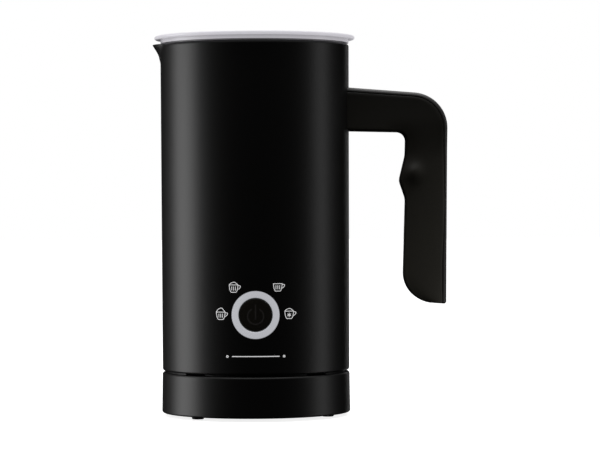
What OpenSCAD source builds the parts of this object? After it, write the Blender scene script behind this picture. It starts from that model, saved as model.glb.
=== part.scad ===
// Milk frother: a lift-off jug on a round power base, with a plug lid, a magnetically driven
// whisk, a heated inner pot and one push button in a light ring.
// Frame: millimetres, +Z up, origin on the jug's axis at floor level.
// The button faces -Y, the handle points to +X and the spout to -X.

/* [Jug] */
// Outer radius of the jug at its rim
jug_r_top = 50; // [49.6:0.1:50.4]
// Outer radius of the jug at its lower edge
jug_r_low = 49.6; // [49.4:0.1:50]
// Height of the jug's lower edge above the floor
jug_low_z = 24.1; // [24:0.1:24.2]
// Height of the jug's rim above the floor
rim_z = 196.7; // [195:0.1:198]
// Wall thickness of the outer shell
shell_wall = 2; // [1.8:0.1:2.1]
// How far the spout's tip stands out beyond the wall
spout_reach = 4.2; // [3.8:0.1:4.4]
// Distance from the jug's axis to the axis that the spout flares about
spout_axis = 36; // [35.5:0.1:36.5]

/* [Pot] */
// Inner radius of the milk pot
pot_r = 41.5; // [41.4:0.1:41.6]
// Height of the pot floor's underside
pot_z = 88; // [88:0.1:90]
// Thickness of the pot's pressed wall
pot_wall = 1; // [0.8:0.1:1]

/* [Base] */
// Outer radius of the base at its foot
base_r_low = 50; // [49.8:0.1:50.2]
// Outer radius of the base at its shoulder
base_r_top = 49.7; // [49.5:0.1:49.9]
// Height of the base's deck, on which the jug stands
deck_z = 23.3; // [23.2:0.1:23.4]
// Height of the rubber feet that show below the base
foot_h = 1.8; // [1.6:0.1:2]
// How far the base is turned under the jug
base_turn = 10.5; // [0:0.5:20]

/* [Handle] */
// Width of the handle across its sides
handle_w = 21; // [16:0.5:26]
// Thickness of the cover that runs along the handle's back
cover_t = 2.4; // [2:0.1:3]

/* [Lid] */
// Outer radius of the lid's ring
lid_r = 53.15; // [52:0.05:53.5]
// Height of the lid's ring
lid_ring_h = 3.7; // [3.4:0.1:4.2]
// Gap between the lid's ring and the jug's rim
lid_gap = 0.6; // [0.4:0.1:0.8]

/* [Button] */
// Height of the button's centre
button_z = 55.2; // [54:0.1:56]
// Radius of the button's cap
button_r = 8.5; // [8:0.1:8.5]
// Outer radius of the light ring
ring_r = 12.4; // [12:0.1:12.6]

/* [Hidden] */
$fn = 96;
cut = 1;              // how far a cutter passes beyond the face that it opens
slip = 0.05;          // radial clearance of a running fit
same_gap = 0.03;      // radial clearance between pieces that are fixed together
fine = 240;           // facets of the jug's face where thin pieces follow it

// Base
base_wall = 2.2;
plate_t = 2.2;
plate_top = foot_h + plate_t;
foot_r = 3.2;
foot_ring = 40;
feet_at = [for (i = [0:2]) base_turn - 30 + 120 * i];
screws_at = [for (i = [0:2]) base_turn + 120 * i];
cord_at = base_turn + 30;
cord_z = 10.5;
cord_bore_r = 3.4;
bush_half = 4;
plug_r = 15;
plug_top = 34;
plug_floor = 20;
plug_flange_z = 18.9;
plug_flange_r = 23;

// Contact rings, as [inner radius of the jug's ring, outer radius]
pin_r = 1.9;
contact_rings = [[6.75, 7.25], [10.65, 11.15]];

// Jug bottom
cover_z = 24.3;
cover_top = 26.3;
cover_r = jug_r_low - shell_wall - 0.15;
socket_r = 17.3;
socket_hole_r = 17.6;
socket_roof = 34.6;
notch_at = [for (side = [-1, 1]) for (front = [-90, 90]) front + side * 41.8];
notch_span = 16.4;
boss_ring = 44.2;
bosses_at = [90, 210, 330];
leg_ring = 35.5;
legs_at = [-30, 30, 150, 210];

// Motor and drive
motor_r = 14;
motor_low = 50;
motor_top = 72;
damper_top = 74;
bracket_top = 76;
bracket_r = 39;
shaft_r = 1.5;
motor_screw_ring = 9;
carrier_r = 17.5;
carrier_z = 80;
carrier_top = 86;
magnet_r = 4;
magnet_ring = 11;

// Pot and whisk
floor_z = pot_z + 1.2;
spindle_r = 2;
spindle_top = floor_z + 12.3;
whisk_z = floor_z + 1.2;
coil_ring = 19;
coil_r = 3;
flange_t = 1.2;
gasket_t = 0.8;
ledge_top = rim_z - flange_t - gasket_t;

// Boards
control_y = -40;
board_t = 1.6;
power_y = 30;
symbols_at = [[-17.9, 54.6], [-11.2, 68.6], [11.5, 69.1], [17.3, 54.9]];

// Lid
lid_z = rim_z + lid_gap;
lid_top = lid_z + lid_ring_h;
lid_floor = 187.2;
plug_wall_r = 40.4;
dish_r = 38.4;

// Points along an arc of a circle, from angle a to angle b
function arc(x, y, r, a, b, n = 6) =
    [for (i = [0:n]) [x + r * cos(a + (b - a) * i / n), y + r * sin(a + (b - a) * i / n)]];

// Radius of the jug's outer face at height z
function jug_r(z) = jug_r_low + (jug_r_top - jug_r_low) * (z - jug_low_z) / (rim_z - jug_low_z);

// How far the spout stands out at a depth d below the rim: full at the lip, then dying away
function spout_out(d) = (spout_reach + 0.15) * exp(-pow(d / 4.7, 1.4)) - 0.15;

// Corner points [x, y, radius] turned into an outline with round corners
function unit(v) = v / norm(v);
function corner(a, b, c, r, n) =
    let (u = unit([a.x - b.x, a.y - b.y]), v = unit([c.x - b.x, c.y - b.y]))
    let (half = acos(u * v) / 2, mid = unit(u + v))
    let (centre = [b.x, b.y] + mid * r / sin(half))
    let (start = [b.x, b.y] + u * r / tan(half) - centre)
    let (end = [b.x, b.y] + v * r / tan(half) - centre)
    let (from = atan2(start.y, start.x), sweep = atan2(end.y, end.x) - from)
    let (turn = sweep > 180 ? sweep - 360 : sweep < -180 ? sweep + 360 : sweep)
    arc(centre.x, centre.y, r, from, from + turn, n);
function rounded(p, n = 10) = [
    for (i = [0:len(p) - 1])
        each p[i][2] == 0
            ? [[p[i].x, p[i].y]]
            : corner(p[(i + len(p) - 1) % len(p)], p[i], p[(i + 1) % len(p)], p[i][2], n)
];

module disc(r, low, high) {
    translate([0, 0, low]) cylinder(r = r, h = high - low);
}

module tube(r_out, r_in, low, high) {
    difference() {
        disc(r_out, low, high);
        disc(r_in, low - cut, high + cut);
    }
}

module at_polar(angle, radius) {
    rotate([0, 0, angle]) translate([radius, 0, 0]) children();
}

module block(low, high) {
    translate(low) cube(high - low);
}

// Flat bar on edge from plan point a to plan point b
module strut(a, b, width, low, high) {
    translate([a.x, a.y, low]) rotate([0, 0, atan2(b.y - a.y, b.x - a.x)])
        translate([0, -width / 2, 0]) cube([norm(b - a), width, high - low]);
}

// Round bar along Y, from y = near to y = far
module bar_y(x, z, r, near, far) {
    translate([x, near, z]) rotate([-90, 0, 0]) cylinder(r = r, h = far - near);
}

// Round bar along X
module bar_x(y, z, r, near, far) {
    translate([near, y, z]) rotate([0, 90, 0]) cylinder(r = r, h = far - near);
}

// Solid bounded by the jug's outer face, grown or shrunk
module jug_solid(grow, low, high) {
    translate([0, 0, low]) cylinder(r1 = jug_r(low) + grow, r2 = jug_r(high) + grow, h = high - low);
}

// Screw that points up, its head's seat at z = 0, with a cross recess
module screw(head_r, head_h, shank_r, shank_h) {
    difference() {
        translate([0, 0, -head_h]) cylinder(r = head_r, h = head_h);
        for (a = [0, 90])
            rotate([0, 0, a]) translate([-head_r * 0.6, -0.35, -head_h - cut])
                cube([head_r * 1.2, 0.7, cut + head_h * 0.5]);
    }
    cylinder(r = shank_r, h = shank_h);
}

// Insulated wire swept along a list of points, as one eight-sided tube
module wire(points, r = 0.9) {
    sides = 8;
    last = len(points) - 1;
    side_ref = [1, 0.35, 0.2];
    rings = [for (i = [0:last])
        let (along = unit(points[min(i + 1, last)] - points[max(i - 1, 0)]))
        let (u = unit(cross(along, side_ref)), v = cross(along, u))
        for (k = [0:sides - 1]) points[i] + r * (u * cos(360 * k / sides) + v * sin(360 * k / sides))];
    walls = [for (i = [0:last - 1])
        for (k = [0:sides - 1])
            let (a = i * sides + k, b = i * sides + (k + 1) % sides)
            each [[a, b, b + sides], [a, b + sides, a + sides]]];
    ends = [[for (k = [0:sides - 1]) sides - 1 - k], [for (k = [0:sides - 1]) last * sides + k]];
    polyhedron(points = rings, faces = concat([for (f = walls) [f[2], f[1], f[0]]],
        [for (f = ends) [for (k = [1:sides]) f[sides - k]]]));
}

// ---------------------------------------------------------------- base

module base_housing() {
    edge = 1;
    shoulder = 1.3;
    color("#202022") difference() {
        rotate_extrude() polygon(concat(
            [[0, foot_h]],
            arc(base_r_low - edge, foot_h + edge, edge, -90, 0),
            arc(base_r_top - shoulder, deck_z - shoulder, shoulder, 0, 90),
            [[0, deck_z]]));
        difference() {
            disc(base_r_low - base_wall, foot_h - cut, deck_z - base_wall);
            for (a = screws_at)
                at_polar(a, foot_ring) disc(3.5, plate_top, deck_z);
        }
        disc(plug_r + same_gap, deck_z - base_wall - cut, deck_z + cut);
        for (a = screws_at) {
            at_polar(a, foot_ring) disc(1.25, plate_top - cut, 15);
            at_polar(a, 19.5) disc(0.95, deck_z - base_wall - cut, deck_z - 0.6);
        }
        // square window for the cord's bush
        rotate([0, 0, cord_at])
            block([base_r_low - 6, -bush_half - slip, cord_z - bush_half - slip],
                  [base_r_low + cut, bush_half + slip, cord_z + bush_half + slip]);
    }
}

module base_bottom_plate() {
    color("#18181a") difference() {
        disc(base_r_low - base_wall - 0.2, foot_h, plate_top);
        for (a = feet_at)
            at_polar(a, foot_ring) disc(foot_r + same_gap, foot_h - cut, foot_h + 0.8);
        for (a = screws_at)
            at_polar(a, foot_ring) {
                disc(2.9, foot_h - cut, plate_top - 0.8);
                disc(1.4, foot_h, plate_top + cut);
            }
    }
}

module base_feet() {
    edge = 0.4;
    color("#2b2b2d")
        for (a = feet_at)
            at_polar(a, foot_ring) rotate_extrude() polygon([
                [0, 0], [foot_r - edge, 0], [foot_r, edge],
                [foot_r, foot_h + 0.8], [0, foot_h + 0.8]]);
}

module base_screws() {
    color("silver")
        for (a = screws_at)
            at_polar(a, foot_ring) translate([0, 0, plate_top - 0.8]) screw(2.6, 1.2, 1.2, 11);
}

module base_connector() {
    color("#111113") difference() {
        union() {
            disc(plug_r, 12, plug_top);
            disc(plug_flange_r, plug_flange_z, deck_z - base_wall);
        }
        disc(2.8, plug_floor, plug_top + cut);
        disc(1.3, 12 - cut, plug_floor + cut);
        for (ring = contact_rings) {
            tube(ring[1] + 0.45, ring[0] - 0.75, plug_floor, plug_top + cut);
            block([ring[0] - 0.75, -2.1, 12 - cut], [ring[0] - 0.3, 2.1, plug_floor + cut]);
        }
        for (a = screws_at)
            at_polar(a, 19.5) disc(1.1, plug_flange_z - cut, deck_z);
    }
}

module connector_screws() {
    color("silver")
        for (a = screws_at)
            at_polar(a, 19.5) translate([0, 0, plug_flange_z]) screw(2, 1.3, 0.9, 3.6);
}

module connector_contacts() {
    color("#b98a4a") {
        tube(2.75, 2.3, plug_floor + 0.2, 33);
        disc(1.2, 8, plug_floor + 0.2);
        disc(2.75, plug_floor + 0.02, plug_floor + 0.4);
        for (ring = contact_rings) {
            tube(ring[0] - 0.4, ring[0] - 0.7, plug_floor + 0.2, 33);
            block([ring[0] - 0.68, -2, 8], [ring[0] - 0.42, 2, plug_floor + 1]);
        }
    }
}

module cord_bush() {
    color("#2b2b2d") rotate([0, 0, cord_at]) difference() {
        union() {
            block([43, -bush_half, cord_z - bush_half], [base_r_low + 0.4, bush_half, cord_z + bush_half]);
            bar_x(0, cord_z, 5.8, base_r_low, base_r_low + 0.8);
            bar_x(0, cord_z, 6.2, 45, 47.1);
        }
        bar_x(0, cord_z, cord_bore_r, 42, base_r_low + 2);
    }
}

// ---------------------------------------------------------------- contact socket

module jug_socket() {
    color("#1a1a1c") difference() {
        union() {
            disc(socket_r, cover_z - 0.4, socket_roof + 3.4);
            disc(22, cover_top + 0.3, cover_top + 2.3);
        }
        disc(plug_r + 0.4, cover_z - 0.4 - cut, socket_roof);
        disc(pin_r + same_gap, socket_roof - cut, socket_roof + 4);
        for (ring = contact_rings) {
            tube(ring[1] + same_gap, ring[0] - same_gap, socket_roof - cut, socket_roof + 1.9);
            block([ring[0] - 0.05, -2.1, socket_roof + 1], [ring[1] + 0.05, 2.1, socket_roof + 4]);
        }
    }
}

module socket_contacts() {
    color("#b98a4a") {
        disc(pin_r, 24.4, 42);
        for (ring = contact_rings) {
            tube(ring[1], ring[0], 24.6, socket_roof + 1.8);
            block([ring[0] + 0.1, -2, socket_roof + 1], [ring[1] - 0.1, 2, 42]);
        }
    }
}

// ---------------------------------------------------------------- jug walls

// Solid of revolution about the spout's own axis, whose front is the spout's face
module spout_solid(grow, depth = 14, over = 0) {
    stations = [0, 1, 2, 3.5, 5, 7, 9.5, depth];
    bore = jug_r_top - spout_axis;
    translate([-spout_axis, 0, 0]) rotate_extrude() polygon(concat(
        [[0, rim_z + over], [bore + spout_out(0) + grow, rim_z + over]],
        [for (d = stations) [bore + spout_out(d) + grow, rim_z - d - (over > 0 && d == 0 ? 0.01 : 0)]],
        [[0, rim_z - depth]]));
}

module outer_shell() {
    edge = 1.2;
    lip = 1.4;
    color("#232325") difference() {
        union() {
            rotate_extrude() polygon(concat(
                [[0, jug_low_z]],
                arc(jug_r_low - edge, jug_low_z + edge, edge, -90, 0),
                arc(jug_r_top - lip, rim_z - lip, lip, 0, 90),
                [[0, rim_z]]));
            spout_solid(0);
        }
        difference() {
            jug_solid(-shell_wall, jug_low_z - cut, ledge_top - 2);
            for (a = bosses_at)
                at_polar(a, boss_ring) disc(3.6, cover_top, 38);
        }
        disc(44, rim_z - 10, rim_z + cut);
        disc(48.4, ledge_top, rim_z + cut);
        spout_solid(-shell_wall, over = cut);
        for (a = bosses_at)
            at_polar(a, boss_ring) disc(1.35, cover_top - cut, 35);
        bar_y(0, button_z, ring_r + 0.05, -jug_r_top - cut, -40);
        for (z = [157, 168])
            bar_x(0, z, 1.8, 44, jug_r_top + cut);
    }
}

module inner_pot() {
    round_out = 7;
    round_in = 6;
    spout_low = rim_z - 22;
    color("#3a3a3d") difference() {
        union() {
            rotate_extrude() polygon(concat(
                [[0, pot_z]],
                arc(pot_r + pot_wall - round_out, pot_z + round_out, round_out, -90, 0, 8),
                [[pot_r + pot_wall, rim_z - flange_t], [48.2, rim_z - flange_t],
                 [48.2, rim_z], [0, rim_z]]));
            translate([-spout_axis, 0, spout_low]) cylinder(r1 = 5, r2 = 14.6, h = 22);
            translate([-spout_axis, 0, rim_z - flange_t])
                cylinder(r1 = 15, r2 = 16, h = flange_t);
        }
        rotate_extrude() polygon(concat(
            [[0, floor_z]],
            arc(pot_r - round_in, floor_z + round_in, round_in, -90, 0, 8),
            [[pot_r, rim_z + cut], [0, rim_z + cut]]));
        translate([-spout_axis, 0, spout_low]) cylinder(r1 = 4, r2 = 14.05, h = 22 + cut);
    }
}

module pot_gasket() {
    color("#5a5a5e") difference() {
        tube(48.2, 44.4, ledge_top, ledge_top + gasket_t);
        translate([-spout_axis, 0, 0]) disc(15.4, ledge_top - cut, rim_z);
    }
}

module whisk_spindle() {
    color("silver") {
        disc(4, floor_z, floor_z + 0.8);
        disc(spindle_r, floor_z, spindle_top - 1);
        translate([0, 0, spindle_top - 1]) cylinder(r1 = spindle_r, r2 = 1.2, h = 1);
    }
}

module jug_bottom_cover() {
    color("#161618") difference() {
        union() {
            disc(cover_r, cover_z, cover_top);
            difference() {
                disc(cover_r, deck_z, cover_z + 0.1);
                tube(cover_r - 2.5, 20, deck_z - cut, cover_z);
                for (a = notch_at)
                    rotate([0, 0, a - notch_span / 2]) rotate_extrude(angle = notch_span)
                        polygon([[40, deck_z - cut], [52, deck_z - cut],
                                 [52, cover_z], [40, cover_z]]);
            }
        }
        disc(socket_hole_r, deck_z - cut, cover_top + cut);
        for (a = bosses_at)
            at_polar(a, boss_ring) {
                disc(1.5, deck_z - cut, cover_top + cut);
                disc(2.8, deck_z - cut, cover_z + 1);
            }
        for (a = legs_at)
            at_polar(a, leg_ring) {
                disc(1.5, deck_z - cut, cover_top + cut);
                disc(2.8, deck_z - cut, cover_z + 1);
            }
    }
}

module bottom_screws() {
    color("silver") {
        for (a = bosses_at)
            at_polar(a, boss_ring) translate([0, 0, cover_z + 1]) screw(2.6, 1.2, 1.1, 8);
        for (a = legs_at)
            at_polar(a, leg_ring) translate([0, 0, cover_z + 1]) screw(2.6, 1.2, 1.1, 10);
    }
}

// ---------------------------------------------------------------- heater

module heater_plate() {
    color("#b9bcc0") tube(37, 21, pot_z - 2.6, pot_z);
}

module heater_ring() {
    low = pot_z - 8.2;
    high = pot_z - 2.6;
    color("#8d8f94") {
        rotate([0, 0, 200]) rotate_extrude(angle = 320) polygon([
            [26, low + 1.6], [27.6, low], [30.4, low], [32, low + 1.6], [32, high], [26, high]]);
        for (a = [204, 156])
            at_polar(a, 29) disc(1.3, low - 1.2, low + 0.5);
    }
}

module temperature_sensor() {
    color("#d8d8d8") at_polar(180, 29) {
        disc(5.5, pot_z - 4.6, pot_z - 2.6);
        disc(3.8, pot_z - 8, pot_z - 4.6);
        for (side = [-1, 1])
            block([side * 2 - 0.4, -1.2, pot_z - 10.5], [side * 2 + 0.4, 1.2, pot_z - 8]);
    }
}

module thermal_fuse() {
    color("#e8e4d8") {
        bar_x(34.4, pot_z - 4.5, 1.8, -5.5, 5.5);
        bar_x(34.4, pot_z - 4.5, 0.5, -9, 9);
    }
}

// ---------------------------------------------------------------- chassis and motor

module chassis() {
    color("#6f7278") difference() {
        union() {
            disc(bracket_r, damper_top, bracket_top);
            for (a = legs_at)
                at_polar(a, leg_ring) disc(3.9, cover_top, damper_top + 0.5);
            // pads and struts that carry the two boards
            for (side = [-1, 1]) {
                for (z = [42, 68]) {
                    block([side * 19.5 - 2.5, control_y, z], [side * 19.5 + 2.5, control_y + 4, z + 4]);
                    strut([side * 30.7, -17.7], [side * 20, control_y + 2.5], 4, z, z + 4);
                }
                for (z = [36, 64]) {
                    block([side * 23.3 - 2, power_y - 4, z], [side * 23.3 + 2, power_y, z + 4]);
                    strut([side * 30.7, 17.7], [side * 24, power_y - 2], 4, z, z + 4);
                }
            }
        }
        disc(5.4, damper_top - cut, bracket_top + cut);
        for (a = [0, 180])
            at_polar(a, motor_screw_ring) disc(1.5, damper_top - cut, bracket_top + cut);
        for (a = [0, 90, 180, 270])
            at_polar(a, 27) disc(6, damper_top - cut, bracket_top + cut);
        for (a = legs_at)
            at_polar(a, leg_ring) disc(1.15, cover_top - cut, 38);
        for (x = [-19.2, 19.2])
            for (z = [44, 70])
                bar_y(x, z, 0.85, control_y - cut, control_y + 2.6);
        for (x = [-23.3, 23.3])
            for (z = [38, 66])
                bar_y(x, z, 0.85, power_y - 2.6, power_y + cut);
    }
}

module motor_can() {
    color("#a9abb0") difference() {
        union() {
            disc(motor_r, motor_low, motor_top);
            disc(5, motor_top - 0.5, damper_top);
        }
        disc(motor_r - 1, motor_low - cut, motor_top - 1);
        disc(3 + same_gap, motor_top - 2, damper_top + cut);
        for (a = [0, 180])
            at_polar(a, motor_screw_ring) disc(1.25, motor_top - 2, motor_top + cut);
    }
}

module motor_end_cap() {
    color("#d9d4c5") difference() {
        union() {
            disc(motor_r, motor_low - 2, motor_low);
            disc(5, motor_low - 4, motor_low - 1);
        }
        disc(3 + same_gap, motor_low - 3.5, motor_low + cut);
        disc(shaft_r + 0.4, motor_low - 5, motor_low);
    }
}

module motor_magnets() {
    color("#4a4a4f")
        for (a = [20, 200])
            rotate([0, 0, a]) rotate_extrude(angle = 140) polygon([
                [10.6, motor_low + 2], [motor_r - 1.05, motor_low + 2],
                [motor_r - 1.05, motor_top - 3], [10.6, motor_top - 3]]);
}

module motor_bushes() {
    color("#b5813c") {
        tube(3, shaft_r + slip, motor_low - 3.4, motor_low);
        tube(3, shaft_r + slip, motor_top - 1, damper_top);
    }
}

module motor_damper() {
    color("#2b2b2d") difference() {
        tube(13.5, 5.1, motor_top, damper_top);
        for (a = [0, 180])
            at_polar(a, motor_screw_ring) disc(1.5, motor_top - cut, damper_top + cut);
    }
}

module motor_screws() {
    color("silver")
        for (a = [0, 180])
            at_polar(a, motor_screw_ring)
                translate([0, 0, bracket_top]) rotate([180, 0, 0]) screw(2.3, 1.5, 1.2, 4.8);
}

module motor_shaft() {
    color("silver") disc(shaft_r, motor_low - 3.3, carrier_top - 1);
}

module motor_armature() {
    color("#b46b34") difference() {
        union() {
            disc(9.8, motor_low + 4, motor_top - 4.5);
            disc(3.4, motor_low + 1, motor_low + 4.5);
        }
        disc(shaft_r + same_gap, motor_low, motor_top);
        for (a = [0, 120, 240])
            rotate([0, 0, a]) block([4.5, -1, motor_low + 3], [11, 1, motor_top - 3]);
    }
}

module magnet_carrier() {
    color("#e6e4dd") difference() {
        union() {
            disc(carrier_r, carrier_z, carrier_top);
            disc(5, carrier_z - 1.5, carrier_z + 1);
        }
        disc(shaft_r + same_gap, carrier_z - 3, carrier_top - 0.9);
        for (a = [0:90:270])
            at_polar(a + 45, magnet_ring) disc(magnet_r + same_gap, carrier_z + 2, carrier_top + cut);
    }
}

module drive_magnets() {
    color("#9a9ca3")
        for (a = [0:90:270])
            at_polar(a + 45, magnet_ring) disc(magnet_r, carrier_z + 2, carrier_top);
}

// ---------------------------------------------------------------- whisk

module whisk_bush() {
    color("#d8d6cf") tube(3.5, spindle_r + slip, floor_z + 0.8, floor_z + 10.8);
}

module whisk_hub() {
    color("#1c1c1e") difference() {
        union() {
            disc(15.6, whisk_z, whisk_z + 6);
            translate([0, 0, whisk_z + 6]) cylinder(r1 = 8, r2 = 5.5, h = 5);
            for (a = [30:60:330])
                rotate([0, 0, a]) block([14, -1.6, whisk_z], [20.5, 1.6, whisk_z + 1]);
        }
        disc(3.5 + slip, whisk_z - cut, whisk_z + 12);
        for (a = [0:90:270])
            at_polar(a + 45, magnet_ring) disc(3.5 + same_gap, whisk_z + 0.8, whisk_z + 4.4);
    }
}

module whisk_coil() {
    color("silver") translate([0, 0, whisk_z + 1.05 + coil_r]) rotate_extrude()
        translate([coil_ring, 0]) circle(r = coil_r, $fn = 32);
}

module whisk_magnets() {
    color("#9a9ca3")
        for (a = [0:90:270])
            at_polar(a + 45, magnet_ring) disc(3.5, whisk_z + 0.8, whisk_z + 4.4);
}

// ---------------------------------------------------------------- boards and wiring

module power_board() {
    color("#2f6b3c") difference() {
        block([-25, power_y, 32], [25, power_y + board_t, 70]);
        for (x = [-23.3, 23.3])
            for (z = [38, 66])
                bar_y(x, z, 1, power_y - cut, power_y + board_t + cut);
    }
}

module transformer() {
    color("#e0b94a") {
        block([-20, 18, 52], [-6, power_y, 56]);
        block([-18, 19, 56], [-8, power_y - 1, 62]);
        block([-20, 18, 62], [-6, power_y, 66]);
    }
}

module relay() {
    color("#2d4f8f") block([8, 17.5, 52], [20, power_y, 68]);
}

module capacitors() {
    color("#3b3b58")
        for (x = [-8, 8])
            bar_y(x, 42, 4.5, 18.5, power_y);
}

module control_board() {
    color("#2f6b3c") difference() {
        block([-21, control_y - board_t, 40], [21, control_y, 73.5]);
        for (x = [-19.2, 19.2])
            for (z = [44, 70])
                bar_y(x, z, 1, control_y - board_t - cut, control_y + cut);
    }
}

module leds() {
    face = control_y - board_t;
    color("#f4f0d0") {
        for (s = symbols_at)
            block([s.x - 1.5, face - 1, s.y - 1], [s.x + 1.5, face, s.y + 1]);
        for (x = [-7.5, 7.5])
            for (z = [-7.5, 7.5])
                block([x - 1, face - 1, button_z + z - 1], [x + 1, face, button_z + z + 1]);
    }
}

module light_guides() {
    $fn = fine;
    color("#dfe6ea") intersection() {
        jug_solid(-shell_wall - 0.05, 40, 80);
        for (s = symbols_at)
            bar_y(s.x, s.y, 3.4, -jug_r_top, control_y - board_t - 1.2);
    }
}

module switch_body() {
    face = control_y - board_t;
    color("#2a2a2c") difference() {
        block([-3, face - 3.5, button_z - 3], [3, face, button_z + 3]);
        bar_y(0, button_z, 1.8, face - 3.5 - cut, face - 1.3);
    }
}

module board_screws() {
    color("silver") {
        for (x = [-19.2, 19.2])
            for (z = [44, 70])
                translate([x, control_y - board_t, z]) rotate([-90, 0, 0]) screw(1.6, 1, 0.8, 3.8);
        for (x = [-23.3, 23.3])
            for (z = [38, 66])
                translate([x, power_y + board_t, z]) rotate([90, 0, 0]) screw(1.6, 1, 0.8, 3.8);
    }
}

module wire_harness() {
    // mains leads from the three contacts to the power board
    color("saddlebrown") wire([[0, 0, 43.2], [0, 14, 43.5], [0, 29, 47]]);
    color("royalblue") wire([[7, 0, 43.2], [17, 14, 44], [17, 29, 44]]);
    color("yellowgreen") wire([[-10.9, 0, 43.2], [-17, 14, 44], [-17, 29, 44]]);
    // motor leads
    color("crimson") wire([[3, 9, 47], [3, 15, 46.8], [3.4, 19, 51], [2, 29, 58]]);
    color("#222222") wire([[-3, 9, 47], [-3, 15, 46.8], [-3.2, 19, 51], [-2, 29, 62]]);
    // lead between the boards
    color("gainsboro") wire([[-21.5, 29, 50], [-25, 20, 50], [-25, -25, 50], [-15, -39, 52]]);
    // heater leads, down through the bracket
    color("white") wire([[-26.5, 11.8, 77.5], [-26.5, 4.5, 77.4], [-26.5, 3, 72], [-23, 12, 66],
                         [-22, 29, 58]]);
    color("white") wire([[-26.5, -11.8, 77.5], [-26.5, -4.5, 77.4], [-26.5, -3, 72], [-23, 6, 60],
                         [-22, 29, 54]]);
}

// ---------------------------------------------------------------- front of the jug

module light_ring() {
    $fn = fine;
    color("white") difference() {
        intersection() {
            jug_solid(-0.05, 40, 70);
            bar_y(0, button_z, ring_r, -jug_r_top - cut, -44.6);
        }
        bar_y(0, button_z, button_r + 0.3, -jug_r_top - cut, -44);
    }
    color("white") difference() {
        bar_y(0, button_z, 13.3, -45.6, -44.6);
        bar_y(0, button_z, button_r + 0.3, -46, -44);
    }
}

module button_cap() {
    $fn = fine;
    color("#1c1c1e") difference() {
        intersection() {
            jug_solid(-0.3, 40, 70);
            bar_y(0, button_z, button_r, -jug_r_top - cut, -46.2);
        }
        bar_y(0, button_z, button_r - 1.2, -47.8, -46);
    }
    color("#1c1c1e") bar_y(0, button_z, 2.2, -48, -45.9);
}

module switch_plunger() {
    color("#c9c2b0") bar_y(0, button_z, 1.5, -45.9, -43.9);
}

// Line drawings of the four programmes, in their own flat frame, centred on the cup's body
line_w = 0.38;
cup_top = 2.1;
cup_half = 2.25;
module stroke(p) {
    for (i = [0:len(p) - 2]) {
        d = p[i + 1] - p[i];
        translate(p[i]) rotate(atan2(d.y, d.x)) translate([-line_w / 3, -line_w / 2])
            square([norm(d) + line_w * 2 / 3, line_w]);
    }
}

// Cup that narrows to its foot, with a pointed handle
module cup_symbol() {
    stroke([[-cup_half, cup_top], [-1.9, -0.4], [-1.2, -1.7], [1.2, -1.7], [1.9, -0.4],
            [cup_half, cup_top], [-cup_half, cup_top]]);
    stroke([[cup_half, cup_top - 0.1], [3.5, 1.4], [3, 0.3], [2, -0.3]]);
}

// Head of froth above the cup's rim, drawn up to a peak
module froth_symbol(height) {
    stroke([[-cup_half, cup_top], [-1.4, cup_top + height * 0.6], [0.3, cup_top + height],
            [1.5, cup_top + height * 0.5], [cup_half, cup_top]]);
}

module heat_symbol() {
    for (x = [-1, 0, 1])
        stroke([[x, -0.6], [x, 1.1]]);
}

module cold_symbol() {
    for (a = [0, 60, 120])
        rotate(a) stroke([[0, -0.95], [0, 0.95]]);
}

// Wraps a flat drawing onto the jug's front as a raised print
module on_front(at) {
    print_t = 0.12;
    difference() {
        intersection() {
            jug_solid(print_t, 40, 80);
            translate([at.x, -40, at.y]) rotate([90, 0, 0]) linear_extrude(height = 15) children();
        }
        jug_solid(0, 39, 81);
    }
}

module program_symbols() {
    color("white") {
        on_front(symbols_at[0]) {
            cup_symbol();
            froth_symbol(2.1);
            heat_symbol();
        }
        on_front(symbols_at[1]) {
            cup_symbol();
            froth_symbol(1.4);
            heat_symbol();
        }
        on_front(symbols_at[2]) {
            cup_symbol();
            heat_symbol();
        }
        on_front(symbols_at[3]) {
            cup_symbol();
            froth_symbol(1.4);
            translate([0, 0.2]) cold_symbol();
        }
    }
}

// ---------------------------------------------------------------- handle

arm_top = 173.45;
arm_low = 150.8;
grip_back = 102.1;
grip_low = 58.8;

// Side view of the whole handle, in x and z
function handle_outline() = rounded([
    [44, arm_top + 0.45, 0], [grip_back, arm_top - 4.1, 18.8], [101, grip_low, 0.8],
    [78.1, grip_low + 1.4, 15.8], [79.8, 114.6, 8], [76.55, 124.2, 5], [79.8, 137.6, 12],
    [80.2, arm_low - 0.9, 4.6], [44, arm_low, 0]]);

// Side view of what lies inside the cover's joint line
function handle_core() = rounded([
    [40, arm_top + 0.75 - cover_t, 0], [grip_back - cover_t, arm_top - 3.95 - cover_t, 16.4],
    [101 - cover_t, 50, 0], [40, 50, 0]]);

module side_view(outline, half_w) {
    rotate([90, 0, 0]) linear_extrude(height = 2 * half_w, center = true) polygon(outline);
}

module handle_body() {
    color("#1b1b1d") difference() {
        intersection() {
            side_view(handle_outline(), handle_w / 2);
            side_view(handle_core(), handle_w);
        }
        jug_solid(0.02, 140, 185);
        for (z = [157, 168])
            bar_x(0, z, 1.7, 45, 62);
    }
}

module handle_cover() {
    color("#222224") difference() {
        side_view(handle_outline(), handle_w / 2);
        side_view(handle_core(), handle_w);
        jug_solid(0.02, 140, 185);
    }
}

module handle_bracket() {
    color("silver") difference() {
        rotate([0, 0, -8]) rotate_extrude(angle = 16) polygon([
            [46.3, 151], [47.75, 151], [47.75, 174], [46.3, 174]]);
        for (z = [157, 168])
            bar_x(0, z, 1.8, 44, 50);
    }
}

module handle_screws() {
    color("silver")
        for (z = [157, 168])
            translate([46.2, 0, z]) rotate([0, 90, 0]) screw(3, 1.8, 1.6, 14);
}

// ---------------------------------------------------------------- lid

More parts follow.
